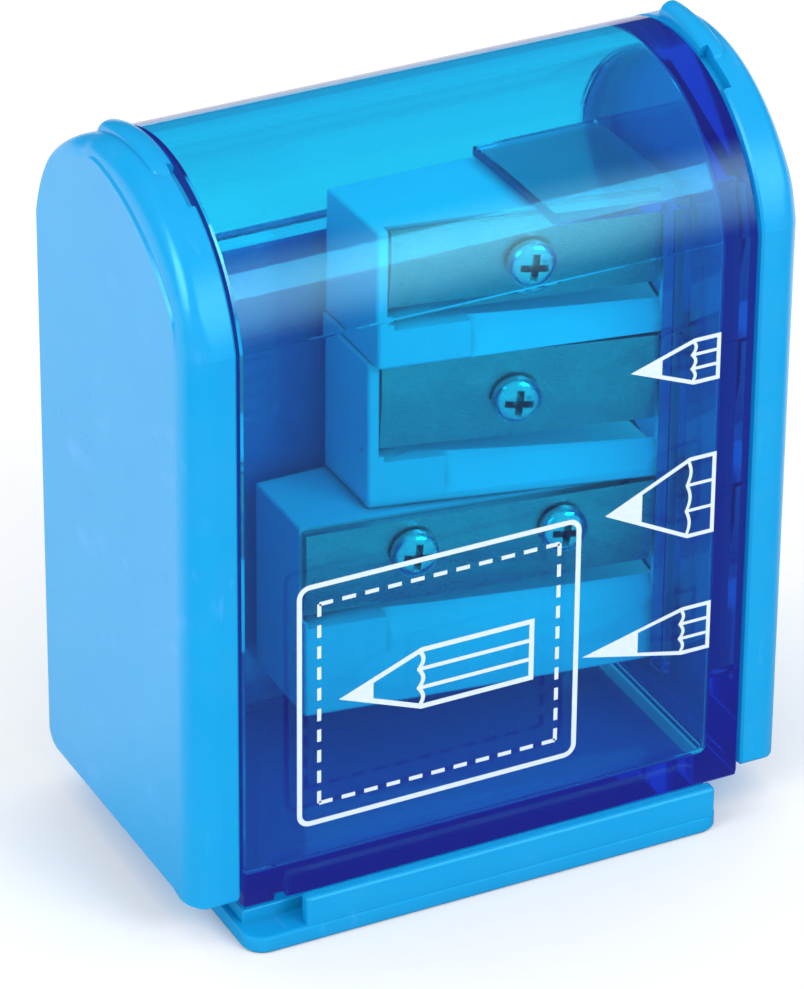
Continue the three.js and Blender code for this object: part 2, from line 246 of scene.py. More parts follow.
def noise(tree, scale, detail=3.0, roughness=0.6, stretch=(1, 1, 1)):
    """Noise in object space, scale in cycles per metre."""
    where = node(tree, "ShaderNodeTexCoord")
    mapping = node(tree, "ShaderNodeMapping", Scale=stretch)
    made = node(tree, "ShaderNodeTexNoise", Scale=scale, Detail=detail, Roughness=roughness)
    link(tree, where, "Object", mapping, "Vector")
    link(tree, mapping, "Vector", made, "Vector")
    return made


def remap(tree, source, socket, low, high, out_low, out_high):
    made = node(tree, "ShaderNodeMapRange")
    ends = {"From Min": low, "From Max": high, "To Min": out_low, "To Max": out_high}
    for name, value in ends.items():
        made.inputs[name].default_value = value
    link(tree, source, socket, made, "Value")
    return made


def mixed(tree, first, second, source, socket):
    """A colour between two, at the share that a socket gives. The first may be a colour or a socket."""
    tint = node(tree, "ShaderNodeMix", data_type="RGBA")
    if isinstance(first, tuple):
        tint.inputs["A"].default_value = (*first, 1)
    else:
        tree.links.new(first, tint.inputs["A"])
    tint.inputs["B"].default_value = (*second, 1)
    link(tree, source, socket, tint, "Factor")
    return tint.outputs["Result"]


def multiplied(tree, first, second):
    """The product of two sockets, as a Math node."""
    product = node(tree, "ShaderNodeMath", operation="MULTIPLY")
    tree.links.new(first, product.inputs[0])
    tree.links.new(second, product.inputs[1])
    return product


def roughen(tree, shader, source, smooth, rough, low=0.3, high=0.7):
    """Roughness that follows a noise, from smooth at its low value to rough at its high one."""
    gloss = remap(tree, source, "Fac", low, high, smooth, rough)
    link(tree, gloss, "Result", shader, "Roughness")


def relieve(tree, shader, source, strength, depth):
    """Fine relief that follows a noise, its depth in metres."""
    bump = node(tree, "ShaderNodeBump", Strength=strength, Distance=depth)
    link(tree, source, "Fac", bump, "Height")
    link(tree, bump, "Normal", shader, "Normal")


def scaled(color, *scales):
    return tuple(min(1, level * scale) for level, scale in zip(color, scales))


# ---- materials

AO_SHUT = 0.25
AO_OPEN = 0.95
MICRON = 1e-6
SCUFF_PALER = (0.12, 0.14, 1)
SCUFF_STRENGTH = 0.16


def painted_hollow_shade(tree, color_output, shader, reach, low):
    """Painted shade: darkens a colour in tight recesses, down to the share low, where ambient occlusion
    finds them shut in.
    """
    near = node(tree, "ShaderNodeAmbientOcclusion", samples=4, Distance=reach)
    level = remap(tree, near, "AO", AO_SHUT, AO_OPEN, low, 1.0)
    shaded = node(tree, "ShaderNodeVectorMath", operation="SCALE")
    tree.links.new(color_output, shaded.inputs[0])
    tree.links.new(level.outputs["Result"], shaded.inputs["Scale"])
    tree.links.new(shaded.outputs["Vector"], shader.inputs["Base Color"])


def moulded_plastic(name, color, roughness=0.22, grain=0.25, reach=0.003, low=0.8):
    """Opaque moulded plastic: faint colour drift, fine texture, a few paler scuffs and painted shade in
    tight recesses.
    """
    made, tree, output = material_with(name)
    shader = node(tree, "ShaderNodeBsdfPrincipled", IOR=1.46)
    shader.inputs["Specular IOR Level"].default_value = 0.42
    drift = noise(tree, scale=90, detail=2)
    drifted = mixed(tree, scaled(color, 0.9, 0.95, 0.97), scaled(color, 1.1, 1.05, 1.02), drift, "Fac")
    rubs = noise(tree, scale=700, stretch=(1, 0.2, 0.3))
    scuffed = remap(tree, rubs, "Fac", 0.62, 0.74, 0.0, SCUFF_STRENGTH)
    paler = tuple(min(1, level + more) for level, more in zip(color, SCUFF_PALER))
    painted_hollow_shade(tree, mixed(tree, drifted, paler, scuffed, "Result"), shader, reach, low)
    roughen(tree, shader, noise(tree, scale=260, detail=4), roughness - 0.05, roughness + 0.06)
    relieve(tree, shader, noise(tree, scale=5200, detail=2, roughness=0.5), grain, 30 * MICRON)
    link(tree, shader, "BSDF", output, "Surface")
    return made


def clear_plastic(name):
    """Transparent blue plastic. The dye is a volume, so thick sections and edges go darker; the volume also
    gives off a painted violet glow that grows with the length of the path through it.
    """
    made, tree, output = material_with(name)
    shader = node(tree, "ShaderNodeBsdfPrincipled", IOR=1.5)
    shader.inputs["Base Color"].default_value = (1, 1, 1, 1)
    shader.inputs["Transmission Weight"].default_value = 1.0
    roughen(tree, shader, noise(tree, scale=160), smooth=0.02, rough=0.06, low=0.35)
    flow = noise(tree, scale=320, detail=2, roughness=0.5, stretch=(0.3, 1, 1))
    relieve(tree, shader, flow, 0.06, 40 * MICRON)
    passing = node(tree, "ShaderNodeBsdfTransparent")
    path = node(tree, "ShaderNodeLightPath")
    either = node(tree, "ShaderNodeMath", operation="MAXIMUM")
    tree.links.new(path.outputs["Is Shadow Ray"], either.inputs[0])
    tree.links.new(path.outputs["Is Diffuse Ray"], either.inputs[1])
    mix = node(tree, "ShaderNodeMixShader")
    tree.links.new(either.outputs[0], mix.inputs[0])
    tree.links.new(shader.outputs["BSDF"], mix.inputs[1])
    tree.links.new(passing.outputs["BSDF"], mix.inputs[2])
    link(tree, mix, "Shader", output, "Surface")
    dye = node(tree, "ShaderNodeVolumeAbsorption", Color=DYE_COLOR, Density=DYE_DENSITY)
    painted_glow = node(tree, "ShaderNodeEmission", Color=PAINTED_GLOW_COLOR, Strength=PAINTED_GLOW_STRENGTH)
    body = node(tree, "ShaderNodeAddShader")
    tree.links.new(dye.outputs["Volume"], body.inputs[0])
    tree.links.new(painted_glow.outputs["Emission"], body.inputs[1])
    link(tree, body, "Shader", output, "Volume")
    return made


def bare_steel(name, dark, bright, mottle):
    """A metal whose colour drifts between two. Returns its drifting colour unlinked."""
    made, tree, output = material_with(name)
    shader = node(tree, "ShaderNodeBsdfPrincipled", Metallic=1.0)
    spots = noise(tree, *mottle)
    link(tree, shader, "BSDF", output, "Surface")
    return made, tree, shader, spots, mixed(tree, dark, bright, spots, "Fac")


def ground_steel(name):
    """Blade steel: fine grinding lines along x, a few stains, and a slightly rubbed sheen."""
    made, tree, shader, _, color = bare_steel(name, (0.36, 0.38, 0.40), (0.54, 0.55, 0.56), (420, 4))
    tree.links.new(color, shader.inputs["Base Color"])
    lines = noise(tree, scale=9000, detail=2, roughness=0.7, stretch=(0.05, 1, 1))
    roughen(tree, shader, lines, smooth=0.24, rough=0.42)
    relieve(tree, shader, lines, 0.35, 20 * MICRON)
    return made


def plated_steel(name):
    """Screw steel: bright plating, cloudy in spots, with painted shade that makes the cross recess nearly
    black.
    """
    made, tree, shader, spots, color = bare_steel(name, (0.62, 0.64, 0.66), (0.86, 0.87, 0.88), (1400, 3))
    painted_hollow_shade(tree, color, shader, reach=0.001, low=0.03)
    roughen(tree, shader, spots, smooth=0.14, rough=0.3)
    relieve(tree, shader, spots, 0.15, 20 * MICRON)
    return made


def white_ink(name):
    """Screen-printed ink, thin in places so that the blue shows through a little."""
    made, tree, output = material_with(name)
    shader = node(tree, "ShaderNodeBsdfPrincipled")
    thin = noise(tree, scale=2600, detail=4)
    color = mixed(tree, (0.50, 0.60, 0.68), (0.62, 0.71, 0.77), thin, "Fac")
    tree.links.new(color, shader.inputs["Base Color"])
    roughen(tree, shader, thin, smooth=0.45, rough=0.65)
    relieve(tree, shader, thin, 0.2, 20 * MICRON)
    link(tree, shader, "BSDF", output, "Surface")
    return made


DYE_COLOR = (0.0, 0.895, 0.965, 1)
DYE_DENSITY = 1300
# Painted glow: violet light given off inside the clear plastic, strongest where the path through it is long.
PAINTED_GLOW_COLOR = (2.0, 0.3, 1.75, 1)
PAINTED_GLOW_STRENGTH = 9.0
CAP_COLOR = (0.004, 0.29, 0.62)
BLOCK_COLOR = (0.05, 0.74, 0.88)

# Painted shade in tight recesses: the caps and frame darken to 80% within 3 mm, the block to 35% within 1
# mm.
CAP_PLASTIC = moulded_plastic("cap_plastic", CAP_COLOR)
BLOCK_PLASTIC = moulded_plastic("block_plastic", BLOCK_COLOR, 0.42, 0.35, reach=0.001, low=0.35)
CLEAR_PLASTIC = clear_plastic("clear_plastic")
BLADE_STEEL = ground_steel("blade_steel")
SCREW_STEEL = plated_steel("screw_steel")
INK = white_ink("white_ink")


# ---- end caps

CAP_ROUND = 2.6
EDGE_ROUND = 0.35
ROUND_FROM = 35
ROUND_FULL = 85
CRESCENT_WIDTH = 2.5
CRESCENT_DROP = 1.8
CRESCENT_MIDDLE = 120
CRESCENT_HALF_SPAN = 48
CRESCENT_THIN = 1.5
CRESCENT_START = 60
CRESCENT_END = 170
CRESCENT_FADE = 20
CREASE_LEAN = 42
CREASE_GROOVE = 0.2
GROOVE_WIDTH = 0.2
FRONT_CORNER = 0.6
BACK_CORNER = 1.8
CORNER_LEFT = 0.05
CAP_RIM = 2.0
CAP_POCKET = 2.2
POCKET_FILLET = 0.4
CAP_INNER_EDGE = 0.2
ROUND_STEPS = 14
CORNER_STEPS = 10
SIDE_STEPS = 16
ARCH_STEPS = 96

# A point of the cap's outline: where it is, its outward normal, the (radius, side) of its corner if it
# is on one, how far the creased border has grown there, that border's width, and its edge radius
Row = namedtuple("Row", "point normal corner grown border edge")


def smoothstep(x):
    x = max(0.0, min(1.0, x))
    return x * x * (3 - 2 * x)


def crescent_at(angle):
    """How far the creased border over the arch has grown, and how wide it is, at an angle in degrees."""
    grown = smoothstep(min(angle - CRESCENT_START, CRESCENT_END - angle) / CRESCENT_FADE)
    off = (angle - CRESCENT_MIDDLE) / CRESCENT_HALF_SPAN
    width = max(1.0, CRESCENT_WIDTH - CRESCENT_THIN * off * off)
    return grown, width


def edge_round_at(angle):
    """The radius of the cap's outer edge over the arch. It is nearly sharp behind and large in front."""
    share = smoothstep((angle - ROUND_FROM) / (ROUND_FULL - ROUND_FROM))
    return EDGE_ROUND + (CAP_ROUND - EDGE_ROUND) * share


def cap_outline():
    """The cap's outline as rows, each with the shape that its outer edge has there."""
    rows = []

    def side(depth, start, end, normal, edge):
        for i in range(1, SIDE_STEPS):
            point = (depth, start + (end - start) * i / SIDE_STEPS)
            rows.append(Row(point, normal, None, 0.0, edge, edge))

    def corner(radius, outward, start, edge):
        middle = (HALF_DEPTH + outward * (HALF_DEPTH - radius), CAP_BOTTOM + radius)
        for i in range(CORNER_STEPS + 1):
            a = math.radians(start + 90 * i / CORNER_STEPS)
            normal = (math.cos(a), math.sin(a))
            point = (middle[0] + radius * normal[0], middle[1] + radius * normal[1])
            rows.append(Row(point, normal, (radius, outward), 0.0, edge, edge))

    bottom_start = CAP_ROUND + BACK_CORNER
    bottom_run = BOX_DEPTH - BACK_CORNER - bottom_start
    for i in range(CORNER_STEPS):
        point = (bottom_start + bottom_run * i / CORNER_STEPS, CAP_BOTTOM)
        rows.append(Row(point, (0, -1), None, 0.0, EDGE_ROUND, EDGE_ROUND))
    corner(BACK_CORNER, 1, -90, EDGE_ROUND)
    side(BOX_DEPTH, CAP_BOTTOM + BACK_CORNER, CREASE_HEIGHT, (1, 0), EDGE_ROUND)
    start = crease_angle(0)
    for i in range(ARCH_STEPS + 1):
        angle = start + (180 - 2 * start) * i / ARCH_STEPS
        a = math.radians(angle)
        normal = (math.cos(a), math.sin(a))
        point = (HALF_DEPTH + ARCH_RADIUS * normal[0], ARCH_HEIGHT + ARCH_RADIUS * normal[1])
        rows.append(Row(point, normal, None, *crescent_at(angle), edge_round_at(angle)))
    side(0.0, CREASE_HEIGHT, CAP_BOTTOM + FRONT_CORNER, (-1, 0), CAP_ROUND)
    corner(FRONT_CORNER, -1, 180, CAP_ROUND)
    return rows


def drawn_in(row, inset):
    """A row's point moved inwards. At a corner, what its radius cannot give goes along the mitre."""
    (depth, height), normal = row.point, row.normal
    if row.corner is None:
        return depth - normal[0] * inset, height - normal[1] * inset
    radius, outward = row.corner
    beyond = max(0.0, inset - radius + CORNER_LEFT)
    kept = inset - beyond
    return depth - normal[0] * kept - outward * beyond, height - normal[1] * kept + beyond


def outer_point(row, inset):
    """A row's point on the outer round. The front round runs straight down through its corner."""
    if row.corner and row.corner[1] < 0:
        return max(row.point[0], inset), row.point[1]
    return drawn_in(row, inset)


def edge_width(row):
    return row.edge + (row.border - row.edge) * row.grown


def rounded_ring(rows, side, t):
    """One ring of the cap's outer round, from its rim (t = 0) to its flat face (t = 1)."""
    points = []
    for row in rows:
        lean = math.radians(CREASE_LEAN * row.grown)
        a = math.pi / 2 + (lean - math.pi / 2) * t
        across = (math.sin(a) - math.sin(lean)) / (1 - math.sin(lean))
        down = (math.cos(lean) - math.cos(a)) / math.cos(lean)
        drop = row.edge + (CRESCENT_DROP - row.edge) * row.grown
        reach = CAP_FAR - drop * down - CREASE_GROOVE * row.grown * t ** 8
        points.append((side * reach, *outer_point(row, edge_width(row) * (1 - across))))
    return points


def cap_shell(bm, side):
    """The cap as one loft, from the floor of its pocket round the rim to its outer face."""
    rows = cap_outline()

    def ring(reach, inset):
        return [(side * reach, *drawn_in(row, inset)) for row in rows]

    pocket = CAP_NEAR + CAP_POCKET
    loops = [
        ring(pocket, CAP_RIM + POCKET_FILLET),
        ring(pocket - 0.3 * POCKET_FILLET, CAP_RIM + 0.3 * POCKET_FILLET),
        ring(pocket - POCKET_FILLET, CAP_RIM),
        ring(CAP_NEAR + CAP_INNER_EDGE, CAP_RIM),
        ring(CAP_NEAR, CAP_RIM - CAP_INNER_EDGE),
        ring(CAP_NEAR, CAP_INNER_EDGE),
        ring(CAP_NEAR + CAP_INNER_EDGE, 0),
    ]
    loops += [rounded_ring(rows, side, k / ROUND_STEPS) for k in range(ROUND_STEPS + 1)]
    loops.append([(side * CAP_FAR, *outer_point(row, edge_width(row) + GROOVE_WIDTH)) for row in rows])
    loft(bm, loops)


EAR_WIDTH = 2.0
EARS = {
    -1: {"back": 0.75, "front": 0.3, "start": 64, "end": 107},
    1: {"back": 1.3, "front": 0.25, "start": 76, "end": 108},
}
EAR_STEPS = 48
EAR_TURNS = 12
EAR_INSET = 0.05
EAR_BLUNT = 0.07
EAR_TAPER = 0.16
EAR_POINT = 0.25
EAR_BASE = 0.15
EAR_FLATNESS = 0.7
NOTCH_START = 103
NOTCH_END = 120
NOTCH_BACK = 0.7
NOTCH_DEPTH = 0.8
ROOT = 1.2


def quarter_round(x):
    """Rises like a quarter circle from 0 to 1, and stays there."""
    return math.sqrt(max(0.0, 1 - (1 - min(1.0, x)) ** 2))


def over_arch(loop, side, a):
    """Points given as (reach, radius from the arch's axis), turned to an angle over the arch."""
    return [(side * x, HALF_DEPTH + r * math.cos(a), ARCH_HEIGHT + r * math.sin(a)) for x, r in loop]


def ear(bm, side):
    """A raised thumb grip over the arch: blunt and tall behind, tapering to a rounded front end."""
    loops = []
    spec = EARS[side]
    half = EAR_WIDTH / 2
    middle = CAP_NEAR + half + EAR_INSET
    for i in range(EAR_STEPS + 1):
        t = i / EAR_STEPS
        a = math.radians(spec["start"] + (spec["end"] - spec["start"]) * t)
        point = quarter_round((1 - t) / EAR_TAPER)
        ends = quarter_round(t / EAR_BLUNT) * point
        rise = EAR_BASE + max(0.02, (spec["back"] + (spec["front"] - spec["back"]) * t) * ends)
        wide = half * (EAR_POINT + (1 - EAR_POINT) * point)
        loop = [(middle - wide, ARCH_RADIUS - ROOT)]
        for k in range(EAR_TURNS + 1):
            turn = math.pi * (1 - k / EAR_TURNS)
            high = ARCH_RADIUS - EAR_BASE + rise * math.sin(turn) ** EAR_FLATNESS
            loop.append((middle + wide * math.cos(turn), high))
        loop.append((middle + wide, ARCH_RADIUS - ROOT))
        loops.append(over_arch(loop, side, a))
    loft(bm, loops)


def ring_sector(bm, side, start, end, reach, radius, steps=16):
    """A sector of a ring about the arch's axis, from its near and far reach and its two radii."""
    outline = [(reach[0], radius[0]), (reach[0], radius[1]), (reach[1], radius[1]), (reach[1], radius[0])]
    angles = [math.radians(start + (end - start) * i / steps) for i in range(steps + 1)]
    loft(bm, [over_arch(outline, side, a) for a in angles])


def turned(bm, profile, depth, height, steps=72):
    """A solid turned about an axis along x, from (x, radius) points."""
    loft(bm, [[(x, depth + d, height + h) for d, h in circle(radius, steps)] for x, radius in profile])


def make_cap(side):
    """A cap with its grip over the arch and the small notch in front of the grip."""
    cap = combine(new_piece(cap_shell, side), new_piece(ear, side), "UNION")
    reach = (CAP_NEAR - 0.5, CAP_NEAR + NOTCH_BACK)
    radius = (ARCH_RADIUS - NOTCH_DEPTH, ARCH_RADIUS + 2)
    notch = new_piece(ring_sector, side, NOTCH_START, NOTCH_END, reach, radius)
    return combine(cap, notch, "DIFFERENCE")


# ---- stations of the block

BLOCK_FRONT = 11.2
BLOCK_BACK = 24.6
BLOCK_BOTTOM = 6.2
BLOCK_TOP = 48.3
NECK_START = 20
SEAT_DEPTH = 1.0
JUMBO_BOTTOM = 23.4
STANDARD_BOTTOM = 36.7
GAP = 0.3

STATIONS = {
    "standard": {
        "height": 40.9, "radius": 4.1, "tilt": 10, "left": -3.5, "bottom": STANDARD_BOTTOM,
        "top": BLOCK_TOP, "blade_left": -2.2, "chip_left": 4.0, "screws": (8.8,), "rise": 3.2,
    },
    "jumbo": {
        "height": 28.4, "radius": 5.6, "tilt": 13, "left": -3.7, "bottom": JUMBO_BOTTOM,
        "top": STANDARD_BOTTOM, "blade_left": -2.4, "chip_left": 2.5, "screws": (8.0,), "rise": 3.9,
    },
    "long_point": {
        "height": 15.3, "radius": 4.1, "tilt": 8, "left": -9.9, "bottom": BLOCK_BOTTOM,
        "top": JUMBO_BOTTOM, "blade_left": -9.6, "chip_left": -3.0, "screws": (-0.9, 11.6), "rise": 5.0,
    },
}


def front_depth(station, x):
    return BLOCK_FRONT + (NECK_START - min(x, NECK_START)) * math.tan(math.radians(station["tilt"]))


def bore_depth(station):
    return BLOCK_FRONT + SEAT_DEPTH + station["radius"]


def upright(bm, outline, low, high):
    """An outline of (x, depth) points pushed upwards."""
    loft(bm, [[(x, d, h) for x, d in outline] for h in (low, high)])


def slab(bm, x, depth, height):
    upright(bm, [(x[0], depth[0]), (x[1], depth[0]), (x[1], depth[1]), (x[0], depth[1])], *height)


BOSS_WALL = 1.1
BOSS_CHAMFER = 0.15
BOSS_START = 0.02
HOLE_FLARE = 0.7
FLARE_STEPS = 6


def add_holes(cap):
    """The three pencil holes, each through a round boss in the cap's pocket and flared outside."""
    face = CAP_NEAR + BOSS_START
    boss_end = CAP_NEAR + CAP_POCKET + GAP
    for station in STATIONS.values():
        wide = station["radius"] + BOSS_WALL
        boss = [(face, wide - BOSS_CHAMFER), (face + BOSS_CHAMFER, wide), (boss_end, wide)]
        tool = new_piece(turned, boss, bore_depth(station), station["height"])
        cap = combine(cap, tool, "UNION")
    for station in STATIONS.values():
        radius = station["radius"]
        profile = [(CAP_NEAR - 1, radius), (CAP_FAR - HOLE_FLARE, radius)]
        for k in range(1, FLARE_STEPS + 1):
            a = math.pi / 2 * k / FLARE_STEPS
            out = CAP_FAR - HOLE_FLARE * (1 - math.sin(a))
            profile.append((out, radius + HOLE_FLARE * (1 - math.cos(a))))
        profile.append((CAP_FAR + 1, radius + HOLE_FLARE))
        tool = new_piece(turned, profile, bore_depth(station), station["height"])
        cap = combine(cap, tool, "DIFFERENCE")
    return cap


# ---- clear hopper

FRONT_WALL = 2.1
FLOOR = 2.0
REAR_WALL = 1.6
END_WALL = 2.1
REAR_OUTSIDE = 26.5
REAR_LEDGE = 43.8
FILLET = 0.9
END_FILLET = 0.7
OUTER_EDGE = 0.35
TONGUE_LENGTH = 11
TONGUE_THICKNESS = 1
TONGUE_FRONT = 8
TONGUE_REAR = 24
WINDOW_RIM = 2.1
RIM_PROUD = 0.8
DETENT_LEFT = 2.6
DETENT_WIDTH = 1.2
DETENT_HEIGHT = 0.8
FILLET_STEPS = 8
END_EDGE = 0.18
END_FACE = HOPPER_RIGHT - END_WALL
INNER_CREASE = CREASE_HEIGHT - 0.83


def filleted(points, radius, steps=10, turn_limit=40, sharp_above=math.inf):
    """Rounds the real corners of a closed outline. Points on an arc are left alone."""
    made = []
    count = len(points)
    for i, here in enumerate(points):
        p = Vector(points[i - 1])
        c = Vector(here)
        n = Vector(points[(i + 1) % count])
        u = (p - c).normalized()
        v = (n - c).normalized()
        between = u.angle(v)
        if math.degrees(math.pi - between) < turn_limit or here[1] > sharp_above:
            made.append(here)
            continue
        back = radius / math.tan(between / 2)
        middle = c + (u + v).normalized() * (radius / math.sin(between / 2))
        start = c + u * back - middle
        end = c + v * back - middle
        a0 = math.atan2(start.y, start.x)
        swing = (math.atan2(end.y, end.x) - a0 + math.pi) % (2 * math.pi) - math.pi
        for k in range(steps + 1):
            a = a0 + swing * k / steps
            made.append((middle.x + radius * math.cos(a), middle.y + radius * math.sin(a)))
    return made


def hopper_outside(inset):
    """The hopper's outside in (depth, height), shrunk by an inset for its rounded ends."""
    points = [
        (inset, inset),
        (REAR_OUTSIDE - inset, inset),
        (REAR_OUTSIDE - inset, REAR_LEDGE + inset),
        (BOX_DEPTH - inset, REAR_LEDGE + inset),
    ]
    return filleted(points + arch(inset), OUTER_EDGE, sharp_above=REAR_LEDGE - 1)


def inner_arch(inset, steps=96):
    """The inside of the arch. Its creases sit a little lower than the outer ones, as a moulded core's do."""
    half = HALF_DEPTH - inset
    top = ARCH_TOP - inset
    rise = top - INNER_CREASE
    radius = (half ** 2 + rise ** 2) / (2 * rise)
    start = math.degrees(math.asin((radius - rise) / radius))
    return arc((HALF_DEPTH, top - radius), radius, start, 180 - start, steps)


def hopper_inside(grow):
    """The hopper's inside, shrunk by grow where it fillets into the end wall."""
    ledge = REAR_LEDGE + REAR_WALL + grow
    rear = REAR_OUTSIDE - REAR_WALL - grow
    points = [
        (FRONT_WALL + grow, FLOOR + grow),
        (rear, FLOOR + grow),
        (rear, ledge),
        (BOX_DEPTH - FRONT_WALL - grow, ledge),
    ]
    return filleted(points + inner_arch(FRONT_WALL + grow), FILLET, sharp_above=REAR_LEDGE)


def section(x, outline):
    return [(x, d, h) for d, h in outline]


def hopper_shell(bm):
    ends = [(HOPPER_LEFT, END_EDGE), (HOPPER_LEFT + END_EDGE, 0)]
    ends += [(HOPPER_RIGHT - END_EDGE, 0), (HOPPER_RIGHT, END_EDGE)]
    loft(bm, [section(x, hopper_outside(inset)) for x, inset in ends])


def hopper_hollow(bm):
    """The inside, open at the left and filleted into the end wall."""
    loops = [section(HOPPER_LEFT - 1, hopper_inside(0))]
    for k in range(FILLET_STEPS + 1):
        a = math.pi / 2 * k / FILLET_STEPS
        x = END_FACE - END_FILLET * (1 - math.sin(a))
        loops.append(section(x, hopper_inside(END_FILLET * (1 - math.cos(a)))))
    loft(bm, loops)


def tongue(bm, low):
    """The flat tongue that reaches in over the block, its left end slanted like the block's face."""
    left = END_FACE - TONGUE_LENGTH
    slant = TONGUE_LENGTH * math.tan(math.radians(STATIONS["standard"]["tilt"]))
    right = END_FACE + RIM_PROUD
    front, rear = TONGUE_FRONT, TONGUE_REAR
    outline = [(left, front + slant), (right, front), (right, rear), (left, rear)]
    upright(bm, outline, low, low + TONGUE_THICKNESS)


def make_hopper():
    """The clear shell with the block's window, the window's rim, the tongue and the detent notch."""
    front = BLOCK_FRONT - GAP
    span = (BLOCK_BOTTOM - GAP, BLOCK_TOP + GAP)
    window = new_piece(slab, (0, HOPPER_RIGHT + 1), (front, REAR_OUTSIDE - REAR_WALL), span)
    rim_x = (END_FACE - RIM_PROUD, END_FACE + RIM_PROUD)
    rim = new_piece(slab, rim_x, (front - WINDOW_RIM, front), span)
    notch_x = (HOPPER_LEFT + DETENT_LEFT, HOPPER_LEFT + DETENT_LEFT + DETENT_WIDTH)
    notch = new_piece(slab, notch_x, (-1, FRONT_WALL), (-1, DETENT_HEIGHT))
    hopper = combine(new_piece(hopper_shell), new_piece(hopper_hollow), "DIFFERENCE")
    hopper = combine(hopper, soften(window, 0.4), "DIFFERENCE")
    hopper = combine(hopper, soften(rim, 0.25), "UNION")
    hopper = combine(hopper, soften(new_piece(tongue, span[1]), 0.2), "UNION")
    return combine(hopper, soften(notch, 0.2), "DIFFERENCE")


# ---- base frame

FOOT_PLATE = 1.5
FOOT_FRONT = -2.5
FOOT_LEFT = -22.8
FOOT_RIGHT = 19.5
FOOT_CORNER = 1.8
LIP_X = (-17.8, 18.9)
LIP_DEPTH = (-2.3, -1.1)
LIP_TOP = 1.1
FRAME_WALL = 1.6
FOOT_EDGE = 0.2
FOOT_ROUND = 0.35
PART_OVERLAP = 0.5


def foot_outline(inset):
    left = FOOT_LEFT + inset
    right = FOOT_RIGHT - inset
    front = FOOT_FRONT + inset
    corner = FOOT_CORNER - inset
    points = arc((left + corner, front + corner), corner, 180, 270, 10)
    points += arc((right - corner, front + corner), corner, 270, 360, 10)
    points += [(right, BOX_DEPTH - inset), (left, BOX_DEPTH - inset)]
    return points


def foot_plate(bm):
    """The plate, with a small edge below and a rounder one above."""
    top = FOOT_PLATE
    levels = ((0, FOOT_EDGE), (FOOT_EDGE, 0), (top - FOOT_ROUND, 0), (top - 0.12, 0.1), (top, FOOT_ROUND))
    loft(bm, [[(x, d, z - BASE_Z) for x, d in foot_outline(inset)] for z, inset in levels])


def make_frame():
    """The foot plate with the pad under the hopper, the rail lip in front and the rear wall."""
    low = FOOT_PLATE - BASE_Z - PART_OVERLAP
    span = (HOPPER_LEFT, FOOT_RIGHT)
    pad = new_piece(slab, span, (GAP, BOX_DEPTH), (low, -GAP))
    lip = new_piece(slab, LIP_X, LIP_DEPTH, (low, LIP_TOP))
    wall = new_piece(slab, span, (BOX_DEPTH - FRAME_WALL, BOX_DEPTH), (low, REAR_LEDGE - GAP))
    frame_piece = new_piece(foot_plate)
    for part, edge in ((pad, 0.15), (lip, 0.3), (wall, 0.3)):
        frame_piece = combine(frame_piece, soften(part, edge), "UNION")
    return frame_piece


# ---- sharpener block

CHIP_DEPTH = 1.4
CHIP_RAMP = 4.2
BLOCK_EDGE = 0.25
EDGE_SLOT = 0.8
EDGE_SLOT_DEPTH = 3.4
SCREW_HOLE_RADIUS = 1.05
SEAT_END_GAP = 0.45
SCREW_HOLE_DEPTH = 5.5
HOLE_START = -3
CUT_FRONT = -5


def tier(bm, station):
    outline = [
        (station["left"], front_depth(station, station["left"])),
        (NECK_START, BLOCK_FRONT),
        (HOPPER_RIGHT, BLOCK_FRONT),
        (HOPPER_RIGHT, BLOCK_BACK),
        (station["left"], BLOCK_BACK),
    ]
    upright(bm, outline, station["bottom"], station["top"])


def seat(bm, station):
    left = station["blade_left"] - SEAT_END_GAP
    outline = [
        (left, 0),
        (NECK_START, 0),
        (NECK_START, BLOCK_FRONT + SEAT_DEPTH),
        (left, front_depth(station, left) + SEAT_DEPTH),
    ]
    upright(bm, outline, station["height"] - GAP, station["top"] + 1)


def chip_opening(bm, station):
    """The sloped opening below the cutting edge, where shavings fall out."""
    top = station["height"]
    low = top - CHIP_RAMP
    loops = []
    for x in (station["chip_left"], NECK_START):
        face = front_depth(station, x)
        deep = face + CHIP_DEPTH
        outline = [(CUT_FRONT, low), (face, low), (deep, top - CHIP_RAMP / 2), (deep, top), (CUT_FRONT, top)]
        loops.append(section(x, outline))
    loft(bm, loops)


def edge_slot(bm, station):
    """The narrow deep gap just under the cutting edge, where shavings enter."""
    top = station["height"]
    low = top - EDGE_SLOT
    loops = []
    for x in (station["blade_left"], NECK_START):
        deep = front_depth(station, x) + EDGE_SLOT_DEPTH
        loops.append(section(x, [(CUT_FRONT, low), (deep, low), (deep, top), (CUT_FRONT, top)]))
    loft(bm, loops)


def bore(bm, station):
    """The cone that shapes the point, then the plain hole that guides the pencil."""
    tip = NECK_START - station["radius"] / math.tan(math.radians(station["tilt"]))
    profile = [(tip, 0.01), (NECK_START, station["radius"]), (HOPPER_RIGHT + 1, station["radius"])]
    turned(bm, profile, bore_depth(station), station["height"])


def station_matrix(station, x, into, rise):
    """Local axes on a station's front face: x along it, y into the block, z up from the cutting edge."""
    t = math.radians(station["tilt"])
    origin = Vector((x, front_depth(station, x) + into / math.cos(t), station["height"] + rise))
    return Matrix.Translation(origin) @ Matrix.Rotation(-t, 4, "Z")


def spun(bm, profile, steps=48):
    """A solid turned about the local y axis, from (radius, y) points."""
    loft(bm, [[(x, y, z) for x, z in circle(radius, steps)] for radius, y in profile])


def round_bar(bm, radius, start, end):
    spun(bm, [(radius, start), (radius, end)])


